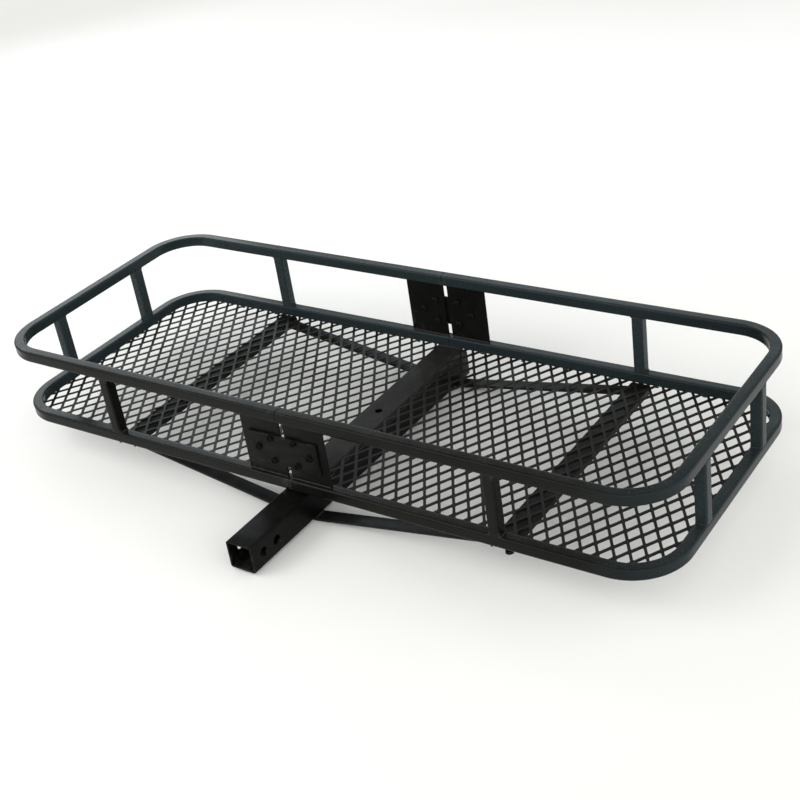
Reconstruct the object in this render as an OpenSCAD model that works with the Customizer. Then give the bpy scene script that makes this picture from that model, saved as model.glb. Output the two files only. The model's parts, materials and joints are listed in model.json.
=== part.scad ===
// Hitch cargo carrier: two half baskets of square tube on a receiver shank.
// Millimetres, +Z up. Origin: middle of the hitch pin hole, on the shank's axis.
// +Y runs from the shank's open end to the far side of the basket.

/* [Basket] */

// Overall length of the basket, side to side
basket_l = 1320; // [1100:10:1600]

// Overall width of the basket, front to rear
basket_w = 520; // [440:10:640]

// Height from the lower rail's underside to the upper rail's top
basket_h = 148; // [110:1:220]

// Outer radius of the rails' bent corners
bend_r = 92; // [60:1:140]

// Side of the square rail tube
tube = 20; // [18:1:26]

// Wall of the square rail tube
tube_wall = 1.6; // [1.2:0.1:2.6]

// Distance of the long-side uprights from the middle
upright_x = 387; // [300:1:430]

// Distance of the end uprights from the middle
end_upright_y = 107; // [60:1:140]

/* [Shank] */

// Side of the square receiver shank
shank = 50.8; // [50:0.1:52]

// Wall of the shank
shank_wall = 3.2; // [2.5:0.1:6]

// Length of shank past the main pin hole, to its open end
shank_nose = 62; // [50:1:90]

// From the main pin hole to the middle of the basket
shank_reach = 338.5; // [320:0.5:420]

// Diameter of the hitch pin holes
pin_d = 16.6; // [16.2:0.1:17]

// Spacing of the two pin holes
pin_pitch = 34; // [30:1:40]

/* [Floor] */

// Height of the cross channels
channel_h = 12.7; // [10:0.1:20]

// Wall of the cross channels
channel_wall = 2.5; // [2:0.1:4]

// Width of the two outer cross channels
channel_w = 38; // [30:1:50]

// Width of the centre channel
centre_w = 54.5; // [52:0.5:70]

// Hole in the middle of the centre channel
centre_hole = 13; // [8:0.5:16]

// Thickness of the mesh
mesh_t = 3; // [2:0.1:4]

// Width of one mesh diamond
mesh_px = 27.2; // [24:0.1:34]

// Length of one mesh diamond
mesh_py = 42.4; // [38:0.1:52]

// Width of a mesh strand
strand = 4.6; // [2.5:0.1:5]

/* [Splice] */

// Half width of each pair of splice plates
splice_x = 84; // [70:1:110]

// Gap between the two splice plates at the seam
splice_gap = 8; // [4:0.5:12]

// Thickness of the splice plates
splice_t = 3; // [2:0.5:5]

// Half width of the lap plate
lap_x = 69; // [60:1:74]

// Thickness of the lap plate
lap_t = 4; // [3:0.5:5]

// Distance of the inner bolts from the seam
bolt_in = 23.5; // [16:0.5:30]

// Distance of the outer bolt from the seam
bolt_out = 51.5; // [40:0.5:56]

// Half height of the bolt pattern
bolt_rise = 21.5; // [14:0.5:24]

/* [Braces] */

// Width of the flat brace bar
brace_w = 25; // [16:1:40]

// Thickness of the flat brace bar
brace_t = 5; // [4:0.5:8]

// Distance of the braces from the middle of the basket
brace_y = 227.8; // [150:0.1:232]

/* [Hidden] */

$fn = 48;
z_rail = shank / 2 + channel_h;
z_mid = z_rail + 71;
z_up = z_rail + basket_h - tube;
y_mid = shank_reach;
rail_x = basket_l / 2 - tube / 2;
rail_y = basket_w / 2 - tube / 2;
bend_m = bend_r - tube / 2;
seam = 0.5;
shank_end = y_mid + basket_w / 2 - 2;
arm_in = shank / 2;
arm_out = upright_x - channel_w / 2;
arm_z = z_rail - mesh_t - 5;
tab_gap = 1;
foot_bolt_x = 396;
foot_bolt_y = -236;
black = [0.11, 0.115, 0.115];
grey = [0.2, 0.205, 0.2];

// Points of a square with rounded corners, for tube sections.
function corner(cx, cy, r, a0) = [for (i = [0:3]) [cx + r * cos(a0 + 30 * i), cy + r * sin(a0 + 30 * i)]];

function rsquare(s, r) = concat(
  corner(s / 2 - r, s / 2 - r, r, 0),
  corner(r - s / 2, s / 2 - r, r, 90),
  corner(r - s / 2, r - s / 2, r, 180),
  corner(s / 2 - r, r - s / 2, r, 270)
);

// Straight tube of section s along +Z from z0 to z1.
module bar_z(s, r, z0, z1) {
  translate([0, 0, z0])
    linear_extrude(height = z1 - z0)
      polygon(rsquare(s, r));
}

// Straight run of section s along +X.
module bar_x(s, r, x0, x1) {
  translate([x0, 0, 0])
    rotate([90, 0, 90])
      linear_extrude(height = x1 - x0)
        polygon(rsquare(s, r));
}

// Straight run of section s along +Y.
module bar_y(s, r, y0, y1) {
  translate([0, y1, 0])
    rotate([90, 0, 0])
      linear_extrude(height = y1 - y0)
        polygon(rsquare(s, r));
}

// Quarter bend of section s about +Z, from +X round to +Y.
module bend(s, r) {
  rotate_extrude(angle = 90, $fn = 96)
    translate([bend_m, 0])
      polygon(rsquare(s, r));
}

// Half of a rail loop on the +X side, its ends at x0.
module half_loop(s, r, x0) {
  cx = rail_x - bend_m;
  cy = rail_y - bend_m;
  union() {
    translate([0, -rail_y, 0]) bar_x(s, r, x0, cx);
    translate([cx, -cy, 0]) rotate([0, 0, -90]) bend(s, r);
    translate([rail_x, 0, 0]) bar_y(s, r, -cy, cy);
    translate([cx, cy, 0]) bend(s, r);
    translate([0, rail_y, 0]) bar_x(s, r, x0, cx);
  }
}

// Half rail of tube on the side given by sx.
module half_rail(sx, zc) {
  translate([0, y_mid, zc])
    rotate([0, 0, sx > 0 ? 0 : 180])
      difference() {
        half_loop(tube, 2.4, seam);
        half_loop(tube - 2 * tube_wall, 0.9, seam - 1);
      }
}

module upper_rail_left() {
  color(black) half_rail(-1, z_up + tube / 2);
}

module upper_rail_right() {
  color(black) half_rail(1, z_up + tube / 2);
}

module lower_rail_left() {
  color(black) half_rail(-1, z_rail + tube / 2);
}

module lower_rail_right() {
  color(black) half_rail(1, z_rail + tube / 2);
}

// Upright of rail tube between the two rails.
module upright(x, y) {
  translate([x, y_mid + y, 0])
    difference() {
      bar_z(tube, 2.4, z_rail + tube, z_up);
      bar_z(tube - 2 * tube_wall, 0.9, z_rail + tube - 1, z_up + 1);
    }
}

module front_upright_left() {
  color(black) upright(-upright_x, -rail_y);
}

module front_upright_right() {
  color(black) upright(upright_x, -rail_y);
}

module rear_upright_left() {
  color(black) upright(-upright_x, rail_y);
}

module rear_upright_right() {
  color(black) upright(upright_x, rail_y);
}

module end_upright_left_front() {
  color(black) upright(-rail_x, -end_upright_y);
}

module end_upright_left_rear() {
  color(black) upright(-rail_x, end_upright_y);
}

module end_upright_right_front() {
  color(black) upright(rail_x, -end_upright_y);
}

module end_upright_right_rear() {
  color(black) upright(rail_x, end_upright_y);
}

// Square receiver tube with two cross holes for the hitch pin.
module shank() {
  color(black)
    difference() {
      bar_y(shank, 4.5, -shank_nose, shank_end);
      bar_y(shank - 2 * shank_wall, 1.6, -shank_nose - 1, shank_end + 1);
      rotate([0, 90, 0]) cylinder(d = pin_d, h = shank + 4, center = true);
      translate([0, -pin_pitch, 0]) rotate([0, 90, 0]) cylinder(d = pin_d, h = shank + 4, center = true);
    }
}

// Channel with its web on top and both legs down, along +Y.
module channel(w, top, half) {
  translate([0, y_mid, top])
    difference() {
      translate([-w / 2, -half, -channel_h]) cube([w, 2 * half, channel_h]);
      translate([-w / 2 + channel_wall, -half - 1, -channel_h - 1])
        cube([w - 2 * channel_wall, 2 * half + 2, channel_h + 1 - channel_wall]);
    }
}

module centre_channel() {
  color(grey)
    difference() {
      channel(centre_w, z_rail, basket_w / 2 - 17);
      translate([0, y_mid, z_rail - channel_h + 1]) cylinder(d = centre_hole, h = channel_h + 4);
    }
}

module cross_channel_left() {
  color(black) translate([-upright_x, 0, 0]) channel(channel_w, z_rail - mesh_t, basket_w / 2 - 16);
}

module cross_channel_right() {
  color(black)
    difference() {
      translate([upright_x, 0, 0]) channel(channel_w, z_rail - mesh_t, basket_w / 2 - 16);
      translate([foot_bolt_x, y_mid + foot_bolt_y, z_rail - mesh_t - 6]) cylinder(d = 8, h = 12);
    }
}

// Outline of one half of the floor: a rectangle with two rounded corners on the +X side.
module half_floor(x0, x1, yh, r) {
  union() {
    translate([x0, -yh]) square([x1 - r - x0, 2 * yh]);
    translate([x0, r - yh]) square([x1 - x0, 2 * yh - 2 * r]);
    translate([x1 - r, yh - r]) circle(r = r);
    translate([x1 - r, r - yh]) circle(r = r);
  }
}

// Expanded mesh: a sheet with staggered diamond openings inside the lower rail.
module half_mesh() {
  a = (mesh_px - strand * 1.18) / 2;
  b = (mesh_py - strand * 1.84) / 2;
  x0 = centre_w / 2 + 0.2;
  xi = basket_l / 2 - tube;
  yi = basket_w / 2 - tube;
  ri = bend_r - tube;
  nx = ceil((xi - x0) / mesh_px);
  ny = ceil(yi / mesh_py);
  union() {
    difference() {
      linear_extrude(height = mesh_t) half_floor(x0, xi + 1, yi + 1, ri + 1, $fn = 96);
      for (i = [0:nx])
        for (j = [-ny:ny])
          for (k = [0:1])
            if (open_cell(x0 + (i + k / 2) * mesh_px, (j + k / 2) * mesh_py, xi, yi, ri))
              translate([x0 + (i + k / 2) * mesh_px, (j + k / 2) * mesh_py, -1])
                linear_extrude(height = mesh_t + 2)
                  polygon([[-a, 0], [0, -b], [a, 0], [0, b]]);
    }
    linear_extrude(height = mesh_t)
      difference() {
        half_floor(x0, basket_l / 2 - 4, basket_w / 2 - 4, bend_r - 4, $fn = 96);
        half_floor(x0 - 1, xi, yi, ri, $fn = 96);
      }
  }
}

// True where a diamond centred at x, y opens at least partly inside the lower rail.
function open_cell(x, y, xi, yi, ri) =
  x < xi + mesh_px * 0.3 && abs(y) < yi + mesh_py * 0.3
  && (x < xi - ri || abs(y) < yi - ri
  || norm([x - xi + ri, abs(y) - yi + ri]) < ri + mesh_px * 0.3);

module floor_mesh_left() {
  color(black) translate([0, y_mid, z_rail - mesh_t]) rotate([0, 0, 180]) half_mesh();
}

module floor_mesh_right() {
  color(black) translate([0, y_mid, z_rail - mesh_t]) half_mesh();
}

// Holes of one half of a bolted splice, along Y, on the side given by sx.
module splice_holes(sx, d) {
  for (p = [[bolt_in, bolt_rise], [bolt_out, 0], [bolt_in, -bolt_rise]])
    translate([sx * p[0], 0, z_mid + p[1]]) rotate([90, 0, 0]) cylinder(d = d, h = 40, center = true);
}

// Splice plate between the rails, on the sides given by sx and sy.
module splice_plate(sx, sy) {
  w = splice_x - splice_gap / 2;
  translate([0, y_mid + sy * rail_y, 0])
    difference() {
      translate([sx > 0 ? splice_gap / 2 : -splice_x, -splice_t / 2, z_rail + tube])
        cube([w, splice_t, z_up - z_rail - tube]);
      splice_holes(sx, 6.6);
    }
}

module splice_plate_front_left() {
  color(black) splice_plate(-1, -1);
}

module splice_plate_front_right() {
  color(black) splice_plate(1, -1);
}

module splice_plate_rear_left() {
  color(black) splice_plate(-1, 1);
}

module splice_plate_rear_right() {
  color(black) splice_plate(1, 1);
}

// Plate that laps over both splice plates on the outside.
module lap_plate(sy) {
  y0 = y_mid + sy * (rail_y + splice_t / 2 + lap_t / 2);
  translate([0, y0, 0])
    difference() {
      translate([-lap_x, -lap_t / 2, z_mid - bolt_rise - 6.5])
        cube([2 * lap_x, lap_t, 2 * bolt_rise + 13]);
      splice_holes(-1, 6.6);
      splice_holes(1, 6.6);
    }
}

module lap_plate_front() {
  color(black) lap_plate(-1);
}

module lap_plate_rear() {
  color(black) lap_plate(1);
}

// Bolt along -Z from z = 0 under its head: across-flats af, head height k, shank d by l.
module bolt(d, l, af, k) {
  union() {
    cylinder(d = af / cos(30), h = k, $fn = 6);
    translate([0, 0, -l]) cylinder(d = d, h = l + k / 2);
  }
}

// Nut on +Z from z = 0, bored clear of its bolt.
module nut(bore, af, h) {
  difference() {
    cylinder(d = af / cos(30), h = h, $fn = 6);
    translate([0, 0, -1]) cylinder(d = bore, h = h + 2);
  }
}

// Places children at the six splice bolts of one side, their +Z along sy times Y.
module at_splice_bolts(sy, y) {
  for (sx = [-1, 1])
    for (p = [[bolt_in, bolt_rise], [bolt_out, 0], [bolt_in, -bolt_rise]])
      translate([sx * p[0], y, z_mid + p[1]]) rotate([-90 * sy, 0, 0]) children();
}

module splice_bolts_front() {
  color(grey) at_splice_bolts(-1, y_mid - rail_y - splice_t / 2 - lap_t) bolt(6, 15, 10, 4);
}

module splice_bolts_rear() {
  color(grey) at_splice_bolts(1, y_mid + rail_y + splice_t / 2 + lap_t) bolt(6, 15, 10, 4);
}

module splice_nuts_front() {
  color(grey) at_splice_bolts(1, y_mid - rail_y + splice_t / 2) nut(6.4, 10, 5);
}

module splice_nuts_rear() {
  color(grey) at_splice_bolts(-1, y_mid + rail_y - splice_t / 2) nut(6.4, 10, 5);
}

// Flat brace bar: a tab under the shank, then a straight run up to the side of a cross channel.
module brace(sx, sy) {
  z0 = -shank / 2;
  translate([0, y_mid + sy * brace_y + brace_w / 2, 0])
    rotate([90, 0, 0])
      linear_extrude(height = brace_w)
        polygon([
          [sx * tab_gap, z0 - brace_t],
          [sx * arm_in, z0 - brace_t],
          [sx * arm_out, arm_z - brace_t],
          [sx * arm_out, arm_z],
          [sx * arm_in, z0],
          [sx * tab_gap, z0]
        ]);
}

module brace_front_left() {
  color(black) brace(-1, -1);
}

module brace_front_right() {
  color(black) brace(1, -1);
}

module brace_rear_left() {
  color(black) brace(-1, 1);
}

module brace_rear_right() {
  color(black) brace(1, 1);
}

// Bolt screwed up into the right channel's web near the front rail, its head hanging below.
module channel_bolt() {
  color(grey)
    translate([foot_bolt_x, y_mid + foot_bolt_y, z_rail - mesh_t - 15])
      rotate([180, 0, 0])
        bolt(8, 15, 13, 5.3);
}

shank();
centre_channel();
cross_channel_left();
cross_channel_right();
upper_rail_left();
upper_rail_right();
lower_rail_left();
lower_rail_right();
floor_mesh_left();
floor_mesh_right();
front_upright_left();
front_upright_right();
rear_upright_left();
rear_upright_right();
end_upright_left_front();
end_upright_left_rear();
end_upright_right_front();
end_upright_right_rear();
splice_plate_front_left();
splice_plate_front_right();
splice_plate_rear_left();
splice_plate_rear_right();
lap_plate_front();
lap_plate_rear();
splice_bolts_front();
splice_bolts_rear();
splice_nuts_front();
splice_nuts_rear();
brace_front_left();
brace_front_right();
brace_rear_left();
brace_rear_right();
channel_bolt();
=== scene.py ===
"""Looks for the hitch cargo carrier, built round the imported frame. Lengths are in millimetres unless said."""
import json
import math
import random

import bmesh
import bpy
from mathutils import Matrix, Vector
from mathutils.geometry import tessellate_polygon


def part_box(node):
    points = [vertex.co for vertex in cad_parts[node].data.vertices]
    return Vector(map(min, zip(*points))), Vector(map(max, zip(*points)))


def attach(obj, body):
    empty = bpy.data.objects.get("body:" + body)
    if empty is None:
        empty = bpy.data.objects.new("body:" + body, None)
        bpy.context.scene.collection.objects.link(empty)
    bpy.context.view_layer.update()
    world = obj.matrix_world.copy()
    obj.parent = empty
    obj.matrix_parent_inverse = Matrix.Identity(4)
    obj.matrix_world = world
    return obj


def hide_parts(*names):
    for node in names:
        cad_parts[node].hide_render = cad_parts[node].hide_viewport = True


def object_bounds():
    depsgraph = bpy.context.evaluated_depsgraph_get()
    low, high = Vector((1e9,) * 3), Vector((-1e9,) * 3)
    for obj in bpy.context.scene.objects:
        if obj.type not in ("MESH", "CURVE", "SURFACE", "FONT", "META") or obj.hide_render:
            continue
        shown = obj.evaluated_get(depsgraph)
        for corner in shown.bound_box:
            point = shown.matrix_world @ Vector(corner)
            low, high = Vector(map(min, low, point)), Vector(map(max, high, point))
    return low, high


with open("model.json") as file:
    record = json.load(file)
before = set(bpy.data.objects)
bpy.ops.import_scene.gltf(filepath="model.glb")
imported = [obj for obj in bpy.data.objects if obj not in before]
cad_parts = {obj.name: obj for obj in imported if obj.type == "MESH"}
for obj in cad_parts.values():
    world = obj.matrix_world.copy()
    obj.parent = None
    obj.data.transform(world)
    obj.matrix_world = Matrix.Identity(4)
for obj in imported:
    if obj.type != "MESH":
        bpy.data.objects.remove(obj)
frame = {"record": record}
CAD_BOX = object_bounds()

random.seed(7)
scene = bpy.context.scene
METRE = 0.001           # metres in a millimetre


def mm_box(node):
    """A CAD node's lowest and highest corners."""
    lo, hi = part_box(node)
    return [c * 1000 for c in lo], [c * 1000 for c in hi]


# ---------------------------------------------------------------- dimensions, from the frame

UP_LO, UP_HI = mm_box("upper_rail_right")
LOW_LO, LOW_HI = mm_box("lower_rail_right")
SHANK_LO, SHANK_HI = mm_box("shank")
TUBE = UP_HI[2] - UP_LO[2]
HALF = TUBE / 2
Y_MID = (UP_LO[1] + UP_HI[1]) / 2
RAIL_X = UP_HI[0] - HALF
RAIL_Y = (UP_HI[1] - UP_LO[1]) / 2 - HALF
SEAM = UP_LO[0]
Z_UP = UP_LO[2] + HALF
Z_LOW = LOW_LO[2] + HALF
FOOT = LOW_HI[2]
HEAD = UP_LO[2]
SHANK_HALF = (SHANK_HI[0] - SHANK_LO[0]) / 2
PINS = [mount for mount in frame["record"]["mounts"] if mount["kind"] == "bore"]
PIN_RADIUS = PINS[0]["dims"]["r_mm"]
PIN_PLACES = [(pin["pos_m"][1] * 1000, pin["pos_m"][2] * 1000) for pin in PINS]
GROUND = CAD_BOX[0][2] * 1000 - 0.4     # just under the braces, the lowest pieces

# ---------------------------------------------------------------- dimensions that the frame doesn't give

BEND = 82.0             # radius of the rails' bends, along the middle of the tube
CORNER = 3.2            # rounding of the tubes' corners
TUBE_WALL = 1.6
BORE_CORNER = 0.9       # rounding inside the tubes
SHANK_CORNER = 4.5
SHANK_WALL = 3.2
SHANK_BORE_CORNER = 1.6
BOLT_SPOTS = [(23.5, 21.5), (51.5, 0.0), (23.5, -21.5)]     # out and up from the lap plate's middle
BOLT_HOLE = 3.3         # radius of the holes for the M6 bolts
M6_FLATS = 10.0         # the width of M6 heads and nuts across their flats
M6_HEAD = 4.0           # the height of M6 heads
SIDES = (("left", -1), ("right", 1))


# ---------------------------------------------------------------- node trees

class Nodes:
    """A short way to add and link the nodes of one tree."""

    def __init__(self, tree):
        self.tree = tree
        tree.nodes.clear()

    def node(self, kind):
        return self.tree.nodes.new(kind)

    def wire(self, a, b):
        self.tree.links.new(a, b)

    def span(self, value, a0, a1, b0, b1, kind="LINEAR"):
        """Maps a0 to a1 onto b0 to b1, and holds the ends."""
        n = self.node("ShaderNodeMapRange")
        n.interpolation_type = kind
        for key, number in (("From Min", a0), ("From Max", a1), ("To Min", b0), ("To Max", b1)):
            n.inputs[key].default_value = number
        self.wire(value, n.inputs["Value"])
        return n.outputs["Result"]

    def combine(self, operation, a, b):
        """Arithmetic on two values. Each is a socket or a number."""
        n = self.node("ShaderNodeMath")
        n.operation = operation
        for socket, value in zip(n.inputs, (a, b)):
            if isinstance(value, (int, float)):
                socket.default_value = value
            else:
                self.wire(value, socket)
        return n.outputs[0]

    def times(self, a, b):
        return self.combine("MULTIPLY", a, b)

    def along(self, vector, way):
        """How far a vector reaches along a direction."""
        n = self.node("ShaderNodeVectorMath")
        n.operation = "DOT_PRODUCT"
        n.inputs[1].default_value = way
        self.wire(vector, n.inputs[0])
        return n.outputs["Value"]


class Finish(Nodes):
    """A material with one Principled shader. Its textures follow the part's own axes, in metres."""

    def __init__(self, name):
        self.mat = bpy.data.materials.new(name)
        self.mat.use_nodes = True
        super().__init__(self.mat.node_tree)
        self.bsdf = self.node("ShaderNodeBsdfPrincipled")
        self.wire(self.bsdf.outputs["BSDF"], self.node("ShaderNodeOutputMaterial").inputs["Surface"])
        self.place = self.node("ShaderNodeTexCoord").outputs["Object"]

    def noise(self, scale, detail=3.0, rough=0.55, stretch=None):
        place = self.place
        if stretch:
            fit = self.node("ShaderNodeMapping")
            fit.inputs["Scale"].default_value = stretch
            self.wire(place, fit.inputs["Vector"])
            place = fit.outputs["Vector"]
        n = self.node("ShaderNodeTexNoise")
        for key, number in (("Scale", scale), ("Detail", detail), ("Roughness", rough)):
            n.inputs[key].default_value = number
        self.wire(place, n.inputs["Vector"])
        return n.outputs["Fac"]

    def mix(self, amount, a, b):
        """From colour a to colour b. Each is a socket or a tuple."""
        n = self.node("ShaderNodeMix")
        n.data_type = "RGBA"
        self.wire(amount, n.inputs[0])
        for socket, colour in zip([s for s in n.inputs if s.type == "RGBA"], (a, b)):
            if isinstance(colour, tuple):
                socket.default_value = (*colour, 1.0)
            else:
                self.wire(colour, socket)
        return [s for s in n.outputs if s.type == "RGBA"][0]

    def facing_up(self):
        split = self.node("ShaderNodeSeparateXYZ")
        self.wire(self.node("ShaderNodeNewGeometry").outputs["Normal"], split.inputs["Vector"])
        return split.outputs["Z"]

    def edges(self, start, full):
        """0 on flat surfaces and 1 on sharp edges, from the mesh's pointiness."""
        return self.span(self.node("ShaderNodeNewGeometry").outputs["Pointiness"], start, full, 0.0, 1.0)

    def give(self, socket, value):
        """Sets one of the shader's sockets to a number, or wires a value to it."""
        if isinstance(value, (int, float)):
            self.bsdf.inputs[socket].default_value = value
        else:
            self.wire(value, self.bsdf.inputs[socket])

    def bump(self, height, strength, distance):
        """Fine relief. The distance is in metres."""
        n = self.node("ShaderNodeBump")
        n.inputs["Strength"].default_value = strength
        n.inputs["Distance"].default_value = distance
        self.wire(height, n.inputs["Height"])
        self.wire(n.outputs["Normal"], self.bsdf.inputs["Normal"])


# ---------------------------------------------------------------- materials

DUST_TONE = (0.20, 0.195, 0.18)
RUBBED_COAT = (0.075, 0.078, 0.075)
RUBBED_STEEL = (0.03, 0.03, 0.029)
# Directions towards which the painted cool light on the rails and posts grows.
FAR_LEFT = (-0.35, 0.94, 0.0)
RIGHT_END = (1.0, 0.0, 0.0)


def painted_cool_light_mask(g):
    """Mask of the painted cool light: 0 along the basket's near side, rising to 1 towards its far left and
    nearly 1 at its right end.
    """
    left = g.span(g.along(g.place, FAR_LEFT), 0.22, 0.42, 0.0, 1.0)
    right = g.span(g.along(g.place, RIGHT_END), 0.52, 0.66, 0.0, 0.85)
    return g.combine("MAXIMUM", left, right)


def coated(name, dark, light, rough, dust, wear, streak=None, gloss=0.12, far=None):
    """Powder-coated steel: two close tones, fine specks, settled dust, rubbed edges and orange peel. Where far
    is given, painted cool light: the coat turns paler and bluer towards the far left and the right end.
    """
    g = Finish(name)
    colour = g.mix(g.span(g.noise(9.0, 4.0, 0.6, streak), 0.35, 0.68, 0.0, 1.0), dark, light)
    # Painted cool light: towards the far left and the right end the colour is mixed to far, a paler, bluer tone
    # that stands in for light.
    if far:
        colour = g.mix(painted_cool_light_mask(g), colour, far)
    speck = g.span(g.noise(1400.0, 2.0), 0.64, 0.76, 0.0, 0.10)
    colour = g.mix(speck, colour, tuple(c * 1.8 + 0.004 for c in light))
    lying = g.span(g.facing_up(), 0.55, 0.98, 0.0, 1.0)
    patch = g.span(g.noise(42.0, 5.0, 0.65), 0.38, 0.72, 0.15, 1.0)
    film = g.times(g.times(lying, patch), dust)
    colour = g.mix(film, colour, DUST_TONE)
    scuff = g.span(g.noise(85.0, 4.0, 0.7), 0.50, 0.66, 0.0, wear)
    g.give("Base Color", g.mix(g.times(g.edges(0.535, 0.60), scuff), colour, RUBBED_COAT))
    grain = g.span(g.noise(160.0, 4.0, 0.6), 0.3, 0.7, rough - 0.06, rough + 0.07)
    g.give("Roughness", g.combine("ADD", grain, g.times(film, 0.35)))
    g.give("Specular IOR Level", gloss)
    peel = g.combine("ADD", g.noise(620.0, 3.0, 0.6), g.times(g.noise(70.0, 2.0), 0.6))
    g.bump(peel, 0.4, 0.00012)
    return g.mat


def weld_coat():
    """Weld beads under the same coat: smoother and a little glossier, with pooled and thin spots."""
    g = Finish("weld_powder_coat")
    pool = g.span(g.noise(210.0, 4.0, 0.6), 0.35, 0.7, 0.0, 1.0)
    g.give("Base Color", g.mix(pool, (0.0065, 0.0075, 0.0075), (0.018, 0.019, 0.018)))
    g.give("Specular IOR Level", 0.20)
    g.give("Roughness", g.span(g.noise(320.0), 0.3, 0.7, 0.28, 0.42))
    g.bump(g.noise(900.0), 0.5, 0.00025)
    return g.mat


def plated(name, dark, light, rough, gloss):
    """Black-oxide fasteners: partly metallic, finely brushed, rubbed to steel on their corners."""
    g = Finish(name)
    colour = g.mix(g.span(g.noise(260.0, 4.0, 0.6), 0.35, 0.68, 0.0, 1.0), dark, light)
    scuff = g.span(g.noise(500.0), 0.4, 0.6, 0.2, 0.9)
    g.give("Base Color", g.mix(g.times(g.edges(0.53, 0.60), scuff), colour, RUBBED_STEEL))
    g.give("Metallic", 0.25)
    g.give("Specular IOR Level", gloss)
    g.give("Roughness", g.span(g.noise(800.0), 0.3, 0.7, rough - 0.08, rough + 0.08))
    g.bump(g.noise(1500.0, 2.0), 0.35, 0.00012)
    return g.mat


# The far tones of the rails and posts are painted cool light, paler and bluer towards the far left and the
# right end.
RAIL_COAT = coated("rail_powder_coat", (0.0020, 0.0022, 0.0013), (0.0046, 0.0048, 0.0032),
                   rough=0.23, dust=0.035, wear=0.55, gloss=0.11, far=(0.0130, 0.0195, 0.0212))
POST_COAT = coated("post_powder_coat", (0.0020, 0.0021, 0.0013), (0.0046, 0.0047, 0.0032),
                   rough=0.27, dust=0.03, wear=0.5, gloss=0.10, far=(0.0180, 0.0262, 0.0280))
SHANK_COAT = coated("shank_powder_coat", (0.0016, 0.0017, 0.0016), (0.0036, 0.0036, 0.0032),
                    rough=0.38, dust=0.03, wear=0.6, gloss=0.08, streak=(1.0, 0.25, 1.0))
PLATE_COAT = coated("plate_powder_coat", (0.0024, 0.0025, 0.0019), (0.0052, 0.0051, 0.0038),
                    rough=0.42, dust=0.04, wear=0.5, gloss=0.08)
CHANNEL_COAT = coated("channel_powder_coat", (0.0060, 0.0061, 0.0056), (0.0120, 0.0119, 0.0106),
                      rough=0.46, dust=0.06, wear=0.5, gloss=0.10, streak=(1.0, 0.3, 1.0))
MESH_COAT = coated("mesh_powder_coat", (0.0050, 0.0055, 0.0046), (0.0100, 0.0104, 0.0084),
                   rough=0.42, dust=0.04, wear=0.6)
BRACE_COAT = coated("brace_powder_coat", (0.0034, 0.0044, 0.0043), (0.0066, 0.0078, 0.0075),
                    rough=0.34, dust=0.04, wear=0.6)
WELD_COAT = weld_coat()
BOLT_STEEL = plated("bolt_black_oxide", (0.0008, 0.0008, 0.0008), (0.0020, 0.0020, 0.0018),
                    rough=0.5, gloss=0.03)
NUT_STEEL = plated("nut_black_oxide", (0.0040, 0.0040, 0.0038), (0.0090, 0.0088, 0.0083),
                   rough=0.46, gloss=0.10)


# ---------------------------------------------------------------- mesh helpers

def add_object(name, data):
    ob = bpy.data.objects.new(name, data)
    scene.collection.objects.link(ob)
    return ob


def shade(me, sharp):
    """Smooth shading, with edges over sharp degrees kept crisp."""
    me.shade_smooth()
    me.set_sharp_from_angle(angle=math.radians(sharp))


def add_piece(me, name, coat, sharp, replaces=None):
    me.materials.append(coat)
    shade(me, sharp)
    ob = add_object(name, me)
    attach(ob, "root")
    if replaces:
        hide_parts(replaces)
    return ob


class Shape:
    """Collects points and faces, and turns them into one piece."""

    def __init__(self):
        self.points = []
        self.faces = []

    def ring(self, points):
        first = len(self.points)
        self.points.extend(tuple(p) for p in points)
        return list(range(first, len(self.points)))

    def bridge(self, a, b):
        """A band of four-sided faces between two closed rings."""
        n = len(a)
        for i in range(n):
            j = (i + 1) % n
            self.faces.append((a[i], a[j], b[j], b[i]))

    def bands(self, rings):
        for a, b in zip(rings, rings[1:]):
            self.bridge(a, b)

    def cap(self, ring):
        self.faces.append(tuple(ring))

    def fill(self, loops):
        """A flat surface inside the first loop, with the other loops as holes."""
        flat = [i for loop in loops for i in loop]
        for triangle in tessellate_polygon([[Vector(self.points[i]) for i in loop] for loop in loops]):
            self.faces.append(tuple(flat[k] for k in triangle))

    def mesh(self, name):
        """A mesh in metres, with its faces turned outwards."""
        me = bpy.data.meshes.new(name)
        me.from_pydata([tuple(c * METRE for c in p) for p in self.points], [], self.faces)
        bm = bmesh.new()
        bm.from_mesh(me)
        bmesh.ops.recalc_face_normals(bm, faces=bm.faces)
        bm.to_mesh(me)
        bm.free()
        return me

    def piece(self, name, coat, sharp, replaces=None):
        return add_piece(self.mesh(name), name, coat, sharp, replaces)

    def weld_piece(self, name):
        self.piece(name, WELD_COAT, sharp=60)


def rounded(half_w, half_h, r, steps=6, side=4):
    """A rounded rectangle round the origin, anticlockwise, with side spans along each flat."""
    in_w, in_h = half_w - r, half_h - r
    corners = ((in_w, in_h), (-in_w, in_h), (-in_w, -in_h), (in_w, -in_h))
    next_starts = ((-in_w, half_h), (-half_w, -in_h), (in_w, -half_h), (half_w, in_h))
    pts = []
    for k, (cx, cy) in enumerate(corners):
        for i in range(steps + 1):
            a = math.radians(90 * k + 90 * i / steps)
            pts.append((cx + r * math.cos(a), cy + r * math.sin(a)))
        next_x, next_y = next_starts[k]
        last_x, last_y = pts[-1]
        for i in range(1, side):
            t = i / side
            pts.append((last_x + (next_x - last_x) * t, last_y + (next_y - last_y) * t))
    return pts


def circle(cu, cv, r, n=28):
    return [(cu + r * math.cos(math.tau * i / n), cv + r * math.sin(math.tau * i / n)) for i in range(n)]


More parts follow.
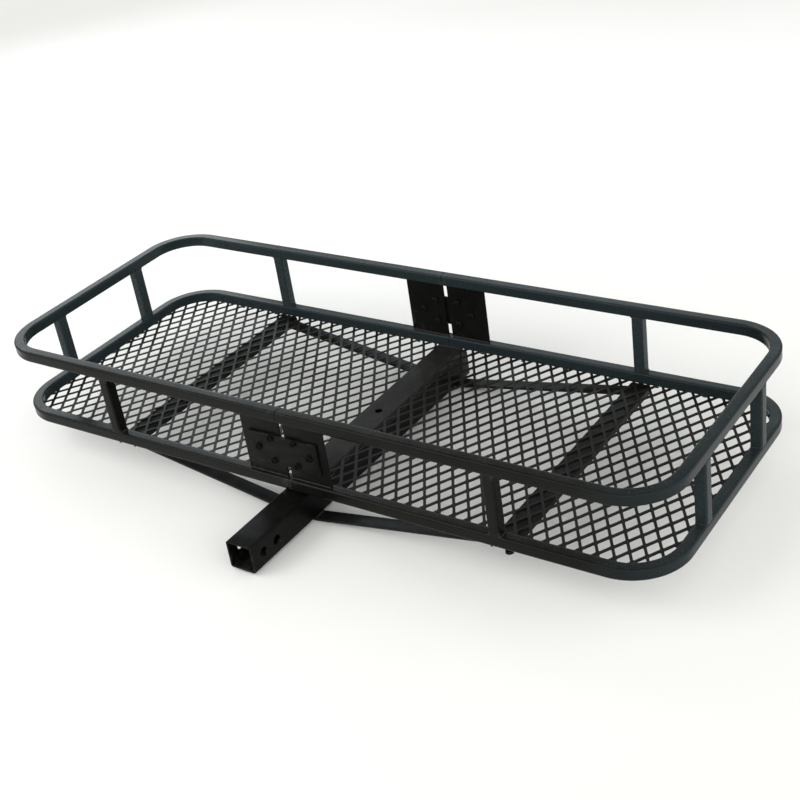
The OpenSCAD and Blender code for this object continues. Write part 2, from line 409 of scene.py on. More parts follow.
def inset(loop, d):
    """The loop moved to its left side by d, mitred."""
    out = []
    n = len(loop)
    for i, p in enumerate(loop):
        before, after = Vector(loop[i - 1]), Vector(loop[(i + 1) % n])
        p = Vector(p)
        e0, e1 = (p - before).normalized(), (after - p).normalized()
        mitre = Vector((-e0.y, e0.x)) + Vector((-e1.y, e1.x))
        mitre = mitre / max(mitre.length_squared / 2, 0.25)
        out.append(tuple(p + mitre * d))
    return out


def along_x(u, v, t):
    return (t, u, v)


def along_y(u, v, t):
    return (u, t, v)


def along_z(u, v, t):
    return (u, v, t)


def slab(shape, outline, holes, t0, t1, edge, steps=3):
    """A plate from t0 to t1 along Y, with rounded edges. Outline and holes are anticlockwise loops in XZ."""
    turns = [math.radians(90 * i / steps) for i in range(steps + 1)]
    tops, lows = [], []
    for loop in [outline] + holes:
        way = 1 if loop is outline else -1
        rings = []
        for start, out, order in ((t1, -1, turns), (t0, 1, turns[::-1])):
            for a in order:
                pts = inset(loop, way * edge * (1 - math.sin(a)))
                t = start + out * edge * (1 - math.cos(a))
                rings.append(shape.ring([along_y(u, v, t) for u, v in pts]))
        shape.bands(rings)
        tops.append(rings[0])
        lows.append(rings[-1])
    shape.fill(tops)
    shape.fill(lows)


def resampled(pts, closed, step=0.75):
    """The path again, with a point about every step."""
    fine = []
    n = len(pts)
    for i in range(n if closed else n - 1):
        a, b = pts[i], pts[(i + 1) % n]
        k = max(1, int(round((b - a).length / step)))
        fine.extend(a.lerp(b, j / k) for j in range(k))
    if not closed:
        fine.append(pts[-1])
    return fine


def bead(shape, path, r, closed=False, sides=8, puddle=2.3, lump=0.16, taper=3.0):
    """A lumpy weld bead of radius r. Its ripples are one puddle long, and its open ends taper."""
    pts = resampled([Vector(p) for p in path], closed)
    n = len(pts)
    total = sum((pts[i + 1] - pts[i]).length for i in range(n - 1))
    turns = [math.tau * k / sides for k in range(sides)]
    ripple_start = random.uniform(0, 6.28)
    drift_start = random.uniform(0, 6.28)
    rings = []
    done = 0.0
    for i, p in enumerate(pts):
        before = pts[i - 1] if (i or closed) else p
        after = pts[(i + 1) % n] if (closed or i < n - 1) else p
        d = (after - before).normalized()
        guide = Vector((0, 0, 1)) if abs(d.z) < 0.8 else Vector((1, 0, 0))
        u = d.cross(guide).normalized()
        v = u.cross(d).normalized()
        if i:
            done += (p - pts[i - 1]).length
        ripple = lump * math.cos(math.tau * done / puddle + ripple_start)
        fat = r * (1 + ripple + 0.10 * math.sin(done * 0.31 + drift_start))
        to_end = min(done, total - done)
        if not closed and to_end < taper:
            fat *= max(0.12, math.sqrt(max(0.0, 1 - (1 - to_end / taper) ** 2)))
        rings.append(shape.ring(p + (u * math.cos(a) + v * math.sin(a)) * fat for a in turns))
    shape.bands(rings)
    if closed:
        shape.bridge(rings[-1], rings[0])
    else:
        shape.cap(rings[0])
        shape.cap(rings[-1])


# ---------------------------------------------------------------- camera, light and floor

def camera():
    """The camera. Its place is in metres and its angles are in degrees."""
    cam = bpy.data.cameras.new("camera")
    cam.lens = 61.624
    cam.sensor_width = 36.0
    cam.clip_start = 0.05
    cam.clip_end = 30.0
    ob = add_object("camera", cam)
    ob.location = (1.30614, -1.26396, 1.27031)
    ob.rotation_euler = [math.radians(a) for a in (59.177, 7.830, 33.430)]
    scene.camera = ob


def soft_light(name, at, aim, size, power, colour=(1.0, 1.0, 1.0)):
    """A rectangular light. Places and sizes are in metres, and the power is in watts."""
    lamp = bpy.data.lights.new(name, "AREA")
    lamp.shape = "RECTANGLE"
    lamp.size, lamp.size_y = size
    lamp.energy = power
    lamp.color = colour
    ob = add_object(name, lamp)
    ob.location = at
    ob.rotation_euler = (Vector(aim) - Vector(at)).to_track_quat("-Z", "Y").to_euler()


def background(g, colour):
    n = g.node("ShaderNodeBackground")
    n.inputs["Color"].default_value = (*colour, 1.0)
    return n


def sky():
    """White light, strongest from the near right and weak at the horizon and overhead. Pale backdrop."""
    scene.world = bpy.data.worlds.new("studio")
    scene.world.use_nodes = True
    g = Nodes(scene.world.node_tree)
    way = g.node("ShaderNodeTexCoord").outputs["Generated"]
    height = g.along(way, (0.0, 0.0, 1.0))
    rising = g.span(height, 0.0, 0.26, 0.12, 1.0, "SMOOTHSTEP")
    fading = g.span(height, 0.42, 0.92, 1.0, 0.32, "SMOOTHSTEP")
    sideways = g.span(g.along(way, (0.6, -0.8, 0.0)), -1.0, 1.0, 0.18, 2.95)
    light = background(g, (1.0, 1.0, 1.0))
    g.wire(g.times(g.times(rising, fading), sideways), light.inputs["Strength"])
    backdrop = background(g, (0.93, 0.93, 0.915))
    choose = g.node("ShaderNodeMixShader")
    g.wire(g.node("ShaderNodeLightPath").outputs["Is Camera Ray"], choose.inputs[0])
    g.wire(light.outputs["Background"], choose.inputs[1])
    g.wire(backdrop.outputs["Background"], choose.inputs[2])
    g.wire(choose.outputs["Shader"], g.node("ShaderNodeOutputWorld").inputs["Surface"])


def paper():
    g = Finish("studio_paper")
    tone = g.span(g.noise(1.2), 0.3, 0.7, 0.0, 1.0)
    g.give("Base Color", g.mix(tone, (0.868, 0.866, 0.836), (0.895, 0.893, 0.866)))
    g.give("Roughness", g.span(g.noise(60.0), 0.3, 0.7, 0.78, 0.9))
    g.bump(g.noise(300.0), 0.1, 0.0002)
    return g.mat


def studio_floor(width=16.0, cells=24):
    """A square grid of cells. Its width is in metres."""
    ticks = [(i / cells - 0.5) * width for i in range(cells + 1)]
    row = cells + 1
    faces = [(k, k + 1, k + row + 1, k + row) for j in range(cells) for k in range(j * row, j * row + cells)]
    me = bpy.data.meshes.new("studio_floor")
    me.from_pydata([(x, y, GROUND * METRE) for y in ticks for x in ticks], [], faces)
    me.materials.append(paper())
    add_object("studio_floor", me)


def studio():
    camera()
    sky()
    soft_light("front_left", (-1.5, -1.3, 2.0), (0.0, 0.2, 0.1), (1.8, 1.4), 22.0)
    soft_light("cool_left", (-2.7, 1.95, 1.25), (-0.4, 0.3, 0.1), (1.3, 0.9), 11.0, (0.88, 0.97, 1.0))
    soft_light("warm_right", (2.4, 1.3, 0.9), (0.6, 0.4, 0.1), (1.2, 0.8), 6.0, (1.0, 0.96, 0.88))
    soft_light("cool_rear", (-0.9, 2.2, 1.2), (0.1, 0.4, 0.1), (2.2, 0.55), 6.5, (0.84, 0.97, 1.0))
    studio_floor()
    scene.view_settings.view_transform = "Standard"
    scene.view_settings.look = "None"
    scene.view_settings.exposure = 0.0


# ---------------------------------------------------------------- rails and uprights

def straight(start, end, normal, spans):
    """Stations along a straight run: place, outward normal, and 0 because the tube isn't bent there."""
    out = []
    for i in range(spans + 1):
        t = i / spans
        place = (start[0] + (end[0] - start[0]) * t, start[1] + (end[1] - start[1]) * t)
        out.append((place, normal, 0.0))
    return out


def bend(cx, cy, first_angle, spans=32):
    """Stations inside a quarter bend: place, outward normal, and how deep in the bend it is, from 0 to 1."""
    out = []
    for i in range(1, spans):
        a = math.radians(first_angle + 90 * i / spans)
        normal = (math.cos(a), math.sin(a))
        out.append(((cx + BEND * normal[0], cy + BEND * normal[1]), normal, math.sin(math.pi * i / spans)))
    return out


def pinched(u, v, amount, sink=1.5, flatten=0.5, squeeze=0.045, inner_squeeze=0.02):
    """A point of a bent tube's section. Its inner wall sinks in, its outer one flattens, and it narrows."""
    inner = max(0.0, min(1.0, -u / HALF))
    outer = max(0.0, min(1.0, u / HALF))
    bulge = amount * (1 - (v / HALF) ** 2)
    if inner > 0.95:
        u += sink * bulge
    elif outer > 0.95:
        u -= flatten * bulge
    return u, v * (1 - squeeze * amount * (1 - inner)) * (1 - inner_squeeze * amount * inner)


def rail(name, node, sx, z, mouth_depth=14.0, lip=0.965):
    """Half of a rail, as one bent square tube with open ends at the seam."""
    section = rounded(HALF, HALF, CORNER)
    bore = rounded(HALF - TUBE_WALL, HALF - TUBE_WALL, BORE_CORNER)
    cx, cy = RAIL_X - BEND, RAIL_Y - BEND
    path = straight((SEAM, -RAIL_Y), (cx, -RAIL_Y), (0, -1), 25)
    path += bend(cx, -cy, -90)
    path += straight((RAIL_X, -cy), (RAIL_X, cy), (1, 0), 12)
    path += bend(cx, cy, 0)
    path += straight((cx, RAIL_Y), (SEAM, RAIL_Y), (0, 1), 25)
    shape = Shape()

    def ring(place, normal, loop):
        spots = [(place[0] + normal[0] * u, place[1] + normal[1] * u, v) for u, v in loop]
        return shape.ring([(sx * x, Y_MID + sx * y, z + v) for x, y, v in spots])

    rings = []
    for place, normal, depth in path:
        amount = min(1.0, depth * 1.6)
        rings.append(ring(place, normal, [pinched(u, v, amount) for u, v in section]))
    shape.bands(rings)
    for edge, (place, normal, _) in ((rings[0], path[0]), (rings[-1], path[-1])):
        deep = (place[0] + mouth_depth, place[1])
        mouth = [edge, ring(place, normal, [(u * lip, v * lip) for u, v in section])]
        mouth += [ring(place, normal, bore), ring(deep, normal, bore)]
        shape.bands(mouth)
        shape.cap(mouth[-1])
    shape.piece(name, RAIL_COAT, sharp=50, replaces=node)


def upright(node, spans=10, bead_r=1.7, off_rail=0.25):
    """A square post between the rails, with a weld bead round its foot and its head."""
    lo, hi = mm_box(node)
    x, y = (lo[0] + hi[0]) / 2, (lo[1] + hi[1]) / 2
    section = rounded(HALF, HALF, CORNER)
    heights = [FOOT + (HEAD - FOOT) * i / spans for i in range(spans + 1)]
    post = Shape()
    rings = [post.ring([(x + u, y + v, z) for u, v in section]) for z in heights]
    post.bands(rings)
    post.cap(rings[0])
    post.cap(rings[-1])
    post.piece(f"{node}_post", POST_COAT, sharp=50, replaces=node)
    proud, flush = HALF + 0.5, HALF - bead_r * 1.27     # along the rail, and across it
    on_long_rail = abs(abs(x) - RAIL_X) > 1
    half_x, half_y = (proud, flush) if on_long_rail else (flush, proud)
    loop = rounded(half_x, half_y, 1.6, steps=3, side=1)
    welds = Shape()
    for z in (FOOT + off_rail, HEAD - off_rail):
        bead(welds, [(x + u, y + v, z) for u, v in loop], bead_r, closed=True)
    welds.weld_piece(f"{node}_post_welds")


# ---------------------------------------------------------------- drilling, and the shank

def cutter(t0, t1, centre, r, place):
    """A temporary cylinder from t0 to t1."""
    shape = Shape()
    low, high = [shape.ring([place(u, v, t) for u, v in circle(*centre, r, 48)]) for t in (t0, t1)]
    shape.bridge(low, high)
    shape.cap(reversed(low))
    shape.cap(high)
    return add_object("cutter", shape.mesh("cutter"))


def drill(ob, cutters, on_hole_edge, width=0.6):
    """Drills ob with the cutters, then breaks the edges of the new holes by width."""
    for c in cutters:
        mod = ob.modifiers.new("drill", "BOOLEAN")
        mod.operation = "DIFFERENCE"
        mod.solver = "EXACT"
        mod.object = c
    me = bpy.data.meshes.new_from_object(ob.evaluated_get(bpy.context.evaluated_depsgraph_get()))
    ob.modifiers.clear()
    whole = ob.data
    ob.data = me
    bpy.data.meshes.remove(whole)
    for c in cutters:
        bpy.data.objects.remove(c)
    bm = bmesh.new()
    bm.from_mesh(me)
    rims = [e for e in bm.edges if len(e.link_faces) == 2 and e.calc_face_angle(0) > 1.0
            and all(on_hole_edge(v.co / METRE) for v in e.verts)]
    bmesh.ops.bevel(bm, geom=rims, offset=width * METRE, segments=2, affect="EDGES", clamp_overlap=True)
    bm.to_mesh(me)
    bm.free()
    shade(me, 40)


def shank(spans=24, soft=0.7):
    """The square tube that slides into the receiver, with its pin holes and the weld seam inside it."""
    y0, y1 = SHANK_LO[1], SHANK_HI[1]
    half_round = (0.12, 0.3)        # a point on the ends' rounding: along the tube, and in from its side
    lead = 0.5                      # chamfer at the mouths of the bore
    bore_half = SHANK_HALF - SHANK_WALL
    outer = rounded(SHANK_HALF, SHANK_HALF, SHANK_CORNER, steps=10, side=1)
    bore = rounded(bore_half, bore_half, SHANK_BORE_CORNER, steps=10, side=1)
    stations = [(y0, soft, outer), (y0 + half_round[0], half_round[1], outer), (y0 + soft, 0.0, outer)]
    stations += [(y0 + soft + (y1 - y0 - 2 * soft) * i / spans, 0.0, outer) for i in range(1, spans)]
    stations += [(y1 - soft, 0.0, outer), (y1 - half_round[0], half_round[1], outer), (y1, soft, outer)]
    stations += [(y1, -lead, bore), (y1 - lead, 0.0, bore), (y0 + lead, 0.0, bore), (y0, -lead, bore)]
    shape = Shape()
    rings = [shape.ring([(u, y, v) for u, v in inset(loop, d)]) for y, d, loop in stations]
    shape.bands(rings)
    shape.bridge(rings[-1], rings[0])
    tube = shape.piece("shank_tube", SHANK_COAT, sharp=45, replaces="shank")

    def on_hole_edge(c):
        in_side_wall = abs(abs(c.x) - SHANK_HALF) < SHANK_WALL + 0.8
        off_edge = min(abs(math.hypot(c.y - y, c.z - z) - PIN_RADIUS) for y, z in PIN_PLACES)
        return in_side_wall and off_edge < 0.1

    reach = SHANK_HALF + 15.0
    drill(tube, [cutter(-reach, reach, place, PIN_RADIUS, along_x) for place in PIN_PLACES], on_hole_edge)
    seam = Shape()
    seam_x, seam_z = 9.0, 0.1 - bore_half
    bead(seam, [(seam_x, y0 + 2, seam_z), (seam_x, y0 + 220, seam_z)], r=1.1, sides=6, lump=0.10)
    seam.weld_piece("shank_inner_seam")


# ---------------------------------------------------------------- fasteners

def hex_ring(flats, cap, turn, n=48):
    """A hexagon at n angles: angle, radius, and how far a 30 degree chamfer drops it below the top."""
    out = []
    for i in range(n):
        a = math.tau * i / n
        from_flat = (a % (math.pi / 3)) - math.pi / 6
        r = flats / 2 / math.cos(from_flat)
        out.append((a + turn, r, max(0.0, r - cap) * math.tan(math.radians(30))))
    return out


def hex_head(shape, at, t0, t1, flats, bore=0.0, turn=0.0, place=along_y):
    """A chamfered hexagon from its bearing face t0 to its outer face t1, with a bore or a shallow dish."""
    way = 1 if t1 > t0 else -1
    cap = flats / 2 * 0.97          # radius at which the chamfer starts
    washer = 0.25                   # height of the narrower bearing edge
    lead = 0.5                      # chamfer at the mouth of the bore
    dish = 0.3                      # depth of the dish
    corners = hex_ring(flats, cap, turn)

    def ring(spots):
        return shape.ring([place(at[0] + r * math.cos(a), at[1] + r * math.sin(a), t) for a, r, t in spots])

    def round_ring(r, t):
        return ring([(a, r, t) for a, _, _ in corners])

    low = ring([(a, min(r, flats / 2) * 0.99, t0) for a, r, _ in corners])
    side = ring([(a, r, t0 + way * washer) for a, r, _ in corners])
    high = ring([(a, r, t1 - way * drop) for a, r, drop in corners])
    rings = [low, side, high, round_ring(cap * 0.985, t1)]
    if bore:
        rings += [round_ring(bore / 2 + lead, t1), round_ring(bore / 2, t1 - way * lead)]
        rings += [round_ring(bore / 2, t0), low]
        shape.bands(rings)
    else:
        rings += [round_ring(cap * 0.72, t1), round_ring(cap * 0.62, t1 - way * dish)]
        shape.bands(rings)
        shape.cap(rings[-1])
        shape.cap(low)


def thread(shape, at, t0, t1, d, pitch, plain=0.0, place=along_y):
    """A threaded rod of diameter d from t0 to t1, plain at its start and chamfered at its far end."""
    way = 1 if t1 > t0 else -1
    tip = 0.8
    rows = [(t0, d / 2)]
    if plain:
        rows.append((t0 + way * plain, d / 2))
    reach = plain
    while reach + pitch < abs(t1 - t0) - tip:
        rows.append((t0 + way * (reach + pitch * 0.5), d / 2 - pitch * 0.5))
        rows.append((t0 + way * (reach + pitch), d / 2))
        reach += pitch
    rows += [(t1 - way * 0.1, d / 2 - 0.7), (t1, d / 2 - 0.9)]
    rings = [shape.ring([place(u, v, t) for u, v in circle(*at, r, 24)]) for t, r in rows]
    shape.bands(rings)
    shape.cap(rings[0])
    shape.cap(rings[-1])


def splice_bolt(shape, at, lo, hi, sy):
    """An M6 bolt along Y, with its head on the sy side."""
    top, tip = (hi, lo) if sy > 0 else (lo, hi)
    seat = top - sy * M6_HEAD
    hex_head(shape, at, seat, top, M6_FLATS, turn=random.uniform(0, math.pi / 3))
    thread(shape, at, seat, tip, d=6.0, pitch=1.0, plain=4.0)


def splice_nut(shape, at, lo, hi, sy):
    """An M6 nut along Y, which bears on the plate on its sy side."""
    seat, top = (hi, lo) if sy > 0 else (lo, hi)
    hex_head(shape, at, seat, top, M6_FLATS, bore=6.4, turn=random.uniform(0, math.pi / 3))


def channel_bolt(head=5.3):
    """The single M8 bolt screwed up into the right cross channel."""
    lo, hi = mm_box("channel_bolt")
    at = ((lo[0] + hi[0]) / 2, (lo[1] + hi[1]) / 2)
    shape = Shape()
    hex_head(shape, at, lo[2] + head, lo[2], flats=13.0, place=along_z)
    thread(shape, at, lo[2] + head, hi[2], d=8.0, pitch=1.25, place=along_z)
    shape.piece("channel_bolt_m8", BOLT_STEEL, sharp=28, replaces="channel_bolt")


# ---------------------------------------------------------------- splices, channels and braces

def upright_plate(name, node, holes, edge, corner):
    """A flat plate standing in the XZ plane, at its CAD node's box."""
    lo, hi = mm_box(node)
    cu, cv = (lo[0] + hi[0]) / 2, (lo[2] + hi[2]) / 2
    loop = rounded((hi[0] - lo[0]) / 2, (hi[2] - lo[2]) / 2, corner, steps=3, side=1)
    outline = [(cu + u, cv + v) for u, v in loop]
    shape = Shape()
    slab(shape, outline, holes, lo[1], hi[1], edge)
    shape.piece(name, PLATE_COAT, sharp=40, replaces=node)


def splice(side, sy):
    """The joint of the two halves: a plate on each, the plate that laps both, six bolts and six nuts."""
    lap_lo, lap_hi = mm_box(f"lap_plate_{side}")
    z_mid = (lap_lo[2] + lap_hi[2]) / 2
    off_plate, short = 0.3, 1.0
    for hand, sx in SIDES:
        node = f"splice_plate_{side}_{hand}"
        holes = [circle(sx * a, z_mid + b, BOLT_HOLE) for a, b in BOLT_SPOTS]
        upright_plate(f"splice_{side}_{hand}_plate", node, holes, edge=0.5, corner=1.0)
        lo, hi = mm_box(node)
        welds = Shape()
        for z in (lo[2] + off_plate, hi[2] - off_plate):
            for y in (lo[1] - off_plate, hi[1] + off_plate):
                bead(welds, [(lo[0] + short, y, z), (hi[0] - short, y, z)], r=1.5)
        welds.weld_piece(f"splice_{side}_{hand}_welds")
    holes = [circle(sx * a, z_mid + b, BOLT_HOLE) for a, b in BOLT_SPOTS for sx in (-1, 1)]
    upright_plate(f"lap_{side}_plate", f"lap_plate_{side}", holes, edge=0.6, corner=1.2)
    for kind, make, steel in (("bolts", splice_bolt, BOLT_STEEL), ("nuts", splice_nut, NUT_STEEL)):
        node = f"splice_{kind}_{side}"
        lo, hi = mm_box(node)
        shape = Shape()
        for sx in (-1, 1):
            for a, b in BOLT_SPOTS:
                make(shape, (sx * a, z_mid + b), lo[1], hi[1], sy)
        shape.piece(f"splice_{side}_{kind}", steel, sharp=28, replaces=node)


def channel(node, coat, wall=2.5, r=2.6, steps=6):
    """A pressed inverted channel along Y: rounded outer bends, and two feet with open space between them."""
    lo, hi = mm_box(node)
    x0, x1, foot, top = lo[0], hi[0], lo[2], hi[2]
    outline = []
    for cx, first in ((x1 - r, 0), (x0 + r, 90)):
        for i in range(steps + 1):
            a = math.radians(first + 90 * i / steps)
            outline.append((cx + r * math.cos(a), top - r + r * math.sin(a)))
    outline += [(x0, foot), (x0 + wall, foot), (x0 + wall, top - wall)]
    outline += [(x1 - wall, top - wall), (x1 - wall, foot), (x1, foot)]
    shape = Shape()
    slab(shape, outline, [], lo[1], hi[1], edge=0.35)
    return shape.piece(f"{node}_press", coat, sharp=35, replaces=node)


def centre_channel(hole_r=6.5):
    """The channel on top of the shank, with a hole through the middle of its top."""
    press = channel("centre_channel", CHANNEL_COAT)
    top = mm_box("centre_channel")[1][2]

    def on_hole_edge(c):
        return abs(math.hypot(c.x, c.y - Y_MID) - hole_r) < 0.1

    drill(press, [cutter(top - 8, top + 5, (0.0, Y_MID), hole_r, along_z)], on_hole_edge)


def brace(side, hand, sx, thick=5.0, spans=12):
    """Flat bar: a tab under the shank, a small bend at its edge, and straight up to the cross channel."""
    node = f"brace_{side}_{hand}"
    lo, hi = mm_box(node)
    x_in, x_out = (lo[0], hi[0]) if sx > 0 else (hi[0], lo[0])
    x_bend = SHANK_HALF * sx
    z_tab, z_out = lo[2] + thick, hi[2]
    ease, lift, gap = sx * 3, 0.48, 0.02
    run, rise = x_out - x_bend, z_out - z_tab
    climb = [(x_bend + run * k / spans, rise * k / spans) for k in range(1, spans + 1)]
    outline = [(x_in, lo[2]), (x_bend - ease, lo[2]), (x_bend, lo[2] + 0.05), (x_bend + ease, lo[2] + lift)]
    outline += [(x, lo[2] + up) for x, up in climb]
    outline += [(x, z_tab + up) for x, up in reversed(climb)]
    outline += [(x_bend + ease, z_tab + lift)]
    outline += [(x, z_tab - gap) for x in (x_bend, x_bend - ease, x_in)]
    if sx < 0:
        outline.reverse()
    shape = Shape()
    slab(shape, outline, [], lo[1], hi[1], edge=0.7)
    shape.piece(f"{node}_bar", BRACE_COAT, sharp=35, replaces=node)
    brace_welds(node, sx, (x_in, x_bend, x_out - sx * 0.5), (z_tab, z_out - thick, z_out))


def brace_welds(node, sx, xs, zs):
    """Beads over and under a brace's outer end, at the shank's edge, and along both sides of its tab."""
    x_in, x_bend, x_end = xs
    z_tab, z_under, z_over = zs
    lo, hi = mm_box(node)
    welds = Shape()
    for x, z, short, r in ((x_end, z_over + 0.5, 2, 1.8), (x_end, z_under - 0.5, 2, 1.8),
                           (x_bend + sx * 0.6, z_tab + 1.2, 1, 2.0)):
        bead(welds, [(x, lo[1] + short, z), (x, hi[1] - short, z)], r)
    for y in (lo[1] - 0.4, hi[1] + 0.4):
        bead(welds, [(x_in + sx, y, z_tab - 0.5), (x_bend - sx * 5, y, z_tab - 0.5)], 1.6)
    welds.weld_piece(f"{node}_welds")


# ---------------------------------------------------------------- welds between channels, mesh and rails

def centre_channel_welds(stitches=5, length=30, pitch=95):
    """A bead across each end of the channel's top, and stitches along both of its feet on the shank."""
    lo, hi = mm_box("centre_channel")
    short, off_rail, off_side = 2, 0.6, 0.65
    welds = Shape()
    z = hi[2] + 0.5
    for sy in (-1, 1):
        y = Y_MID + sy * (RAIL_Y - HALF - off_rail)
        bead(welds, [(lo[0] + short, y, z), (hi[0] - short, y, z)], r=2.0)
    first = Y_MID - (pitch * (stitches - 1) + length) / 2
    z = lo[2] - 0.4
    for x in (lo[0] + off_side, hi[0] - off_side):
        for k in range(stitches):
            y = first + pitch * k
            bead(welds, [(x, y, z), (x, y + length, z)], r=1.7)
    welds.weld_piece("centre_channel_welds")


def mesh_tack_welds(hand, sx, length=9, r=1.6, taper=2.5):
    """Short tacks that hold the mesh to the lower rail: six on each long side and three at the end."""
    off_rail = 0.2
    side_first, side_pitch = 66, 87
    end_first, end_pitch = Y_MID - 64, 60
    welds = Shape()
    z = LOW_LO[2] - off_rail
    for sy in (-1, 1):
        y = Y_MID + sy * (RAIL_Y - HALF - off_rail)
        for k in range(6):
            x = sx * (side_first + side_pitch * k)
            bead(welds, [(x, y, z), (x + sx * length, y, z)], r, taper=taper)
    x = sx * (RAIL_X - HALF - off_rail)
    for k in range(3):
        y = end_first + end_pitch * k
        bead(welds, [(x, y, z), (x, y + length, z)], r, taper=taper)
    welds.weld_piece(f"mesh_tack_welds_{hand}")


def cross_channel_welds(hand):
    """A bead where each end of the cross channel meets the lower rail."""
    lo, hi = mm_box(f"cross_channel_{hand}")
    short, off_end = 2, 0.3
    z = hi[2] - 0.8
    welds = Shape()
    for y in (lo[1] - off_end, hi[1] + off_end):
        bead(welds, [(lo[0] + short, y, z), (hi[0] - short, y, z)], r=1.5)
    welds.weld_piece(f"cross_channel_{hand}_welds")


# ---------------------------------------------------------------- expanded metal floor

CELL_X, CELL_Y = 13.6, 21.2     # half of a diamond's width and length
BOND_X, BOND_Y = 3.5, 5.45      # half of the width and length of a bond, where strands meet
FLAT_X, FLAT_Y = 0.75, 1.2      # half of the length of a bond's blunt sides
SHEET = 2.0                     # thickness of the sheet
LEAN = 0.45 / 3.2               # how steeply the bonds lean, as drop over run
TUCK = 5.0                      # how far the sheet's edge stays inside the CAD node's
SHEET_CORNER = 83.0             # radius of the sheet's corners


def lattice(x_start, x_end, y_end, z):
    """The diamonds of the right half, past its outline: eight-sided bonds, and strands between them."""
    shape = Shape()
    seen = {}

    def vert(column, row, dx, dy, top):
        """The point at an offset from a bond's middle. Bonds and strands that meet share it."""
        x, y = x_start + column * CELL_X + dx, row * CELL_Y + dy
        key = (round(x * 20), round(y * 20), top)
        if key not in seen:
            seen[key] = len(shape.points)
            shape.points.append((x, y, z - LEAN * dx + (SHEET / 2 if top else -SHEET / 2)))
        return seen[key]

    def walls(upper, under, sides):
        for i, j in sides:
            shape.faces.append((upper[i], under[i], under[j], upper[j]))

    bond = [(-BOND_X, -FLAT_Y), (-FLAT_X, -BOND_Y), (FLAT_X, -BOND_Y), (BOND_X, -FLAT_Y),
            (BOND_X, FLAT_Y), (FLAT_X, BOND_Y), (-FLAT_X, BOND_Y), (-BOND_X, FLAT_Y)]
    columns, rows = int(x_end / CELL_X) + 2, int(y_end / CELL_Y) + 2
    for column in range(-1, columns):
        for row in range(-rows, rows + 1):
            if (column + row) % 2 == 0:
                continue
            upper, under = [[vert(column, row, dx, dy, top) for dx, dy in bond] for top in (True, False)]
            shape.cap(upper)
            shape.cap(reversed(under))
            walls(upper, under, ((1, 2), (3, 4), (5, 6), (7, 0)))
            for way in (1, -1):
                upper, under = [[vert(column, row, way * BOND_X, FLAT_Y, top),
                                 vert(column + way, row + 1, -way * FLAT_X, -BOND_Y, top),
                                 vert(column + way, row + 1, -way * BOND_X, -FLAT_Y, top),
                                 vert(column, row, way * FLAT_X, BOND_Y, top)] for top in (True, False)]
                shape.cap(upper)
                shape.cap(reversed(under))
                walls(upper, under, ((0, 1), (2, 3)))
    return shape


def outline_planes(x_start, x_end, y_end, step=6):
    """Planes round the right half's outline, as point and outward normal, each step degrees in a corner."""
    planes = [((x_start, 0, 0), (-1, 0, 0)), ((x_end, 0, 0), (1, 0, 0)),
              ((0, y_end, 0), (0, 1, 0)), ((0, -y_end, 0), (0, -1, 0))]
    cx, cy = x_end - SHEET_CORNER, y_end - SHEET_CORNER
    for sy in (1, -1):
        for angle in range(step, 90, step):
            a = math.radians(angle)
            normal = (math.cos(a), sy * math.sin(a), 0)
            planes.append(((cx + SHEET_CORNER * normal[0], sy * cy + SHEET_CORNER * normal[1], 0), normal))
    return planes


def cut_to_outline(bm, planes):
    """Cuts off what is outside each plane, and closes the strands that it cuts."""
    for point, normal in planes:
        geom = bm.verts[:] + bm.edges[:] + bm.faces[:]
        cut = bmesh.ops.bisect_plane(bm, geom=geom, plane_co=point, plane_no=normal,
                                     clear_outer=True, dist=1e-4)
        open_edges = [e for e in cut["geom_cut"] if isinstance(e, bmesh.types.BMEdge)]
        if open_edges:
            bmesh.ops.holes_fill(bm, edges=open_edges, sides=0)


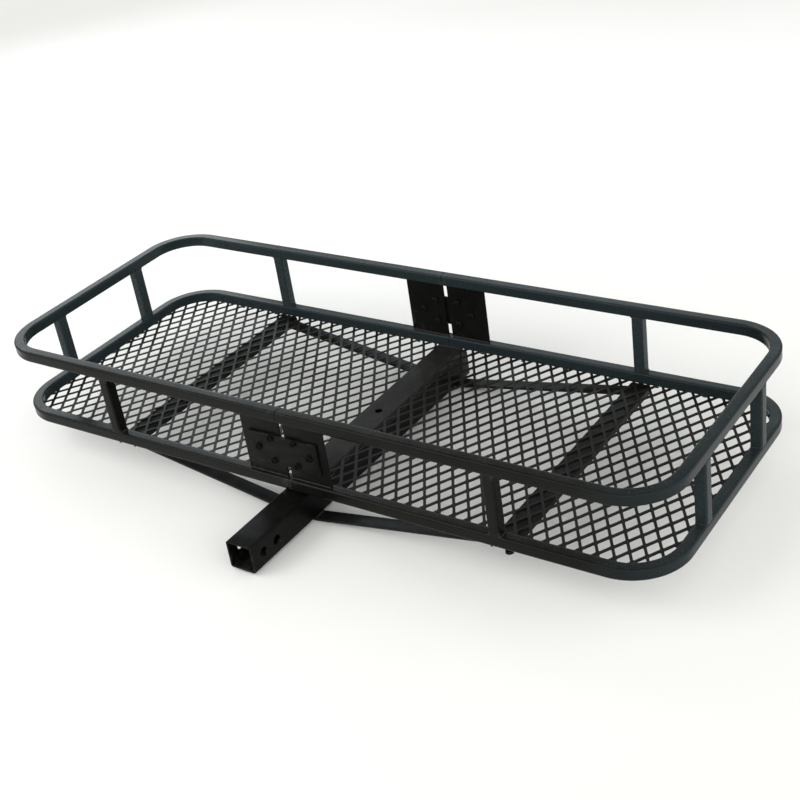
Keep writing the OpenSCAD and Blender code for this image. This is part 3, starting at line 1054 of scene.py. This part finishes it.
def break_sheet_edges(bm, width=0.32):
    """Bevels the sharp edges that run along the sheet, and leaves those that run through its thickness."""
    rims = [e for e in bm.edges if len(e.link_faces) == 2 and e.calc_face_angle(0) > 1.2
            and abs(e.verts[0].co.z - e.verts[1].co.z) < 0.8 * SHEET * METRE]
    bmesh.ops.bevel(bm, geom=rims, offset=width * METRE, segments=1, affect="EDGES", clamp_overlap=True)


def floor_mesh(hand, sx):
    """Expanded metal: diamonds whose bonds all lean the same way, cut to the rail's outline."""
    node = f"floor_mesh_{hand}"
    lo, hi = mm_box(node)
    x_start = min(abs(lo[0]), abs(hi[0]))
    x_end = max(abs(lo[0]), abs(hi[0])) - TUCK
    y_end = (hi[1] - lo[1]) / 2 - TUCK
    channel_side = mm_box("centre_channel")[1][0]
    shape = lattice(x_start, x_end, y_end, (lo[2] + hi[2]) / 2)
    me = bpy.data.meshes.new(f"{node}_metal")
    me.from_pydata(shape.points, [], shape.faces)
    bm = bmesh.new()
    bm.from_mesh(me)
    bmesh.ops.recalc_face_normals(bm, faces=bm.faces)
    cut_to_outline(bm, outline_planes(channel_side, x_end, y_end))
    for v in bm.verts:
        v.co = Vector((sx * v.co.x, Y_MID + sx * v.co.y, v.co.z)) * METRE
    bmesh.ops.recalc_face_normals(bm, faces=bm.faces)
    break_sheet_edges(bm)
    bm.to_mesh(me)
    bm.free()
    add_piece(me, f"{node}_metal", MESH_COAT, sharp=28, replaces=node)


# ---------------------------------------------------------------- the whole carrier

studio()
for level, z in (("upper", Z_UP), ("lower", Z_LOW)):
    for hand, sx in reversed(SIDES):
        rail(f"{level}_rail_tube_{hand}", f"{level}_rail_{hand}", sx, z)
for side in ("front", "rear"):
    for hand, _ in SIDES:
        upright(f"{side}_upright_{hand}")
for hand, _ in SIDES:
    for side in ("front", "rear"):
        upright(f"end_upright_{hand}_{side}")
shank()
splice("front", -1)
splice("rear", 1)
centre_channel()
for hand, _ in SIDES:
    channel(f"cross_channel_{hand}", PLATE_COAT)
centre_channel_welds()
for hand, sx in SIDES:
    mesh_tack_welds(hand, sx)
    cross_channel_welds(hand)
channel_bolt()
for side in ("front", "rear"):
    for hand, sx in SIDES:
        brace(side, hand, sx)
for hand, sx in reversed(SIDES):
    floor_mesh(hand, sx)
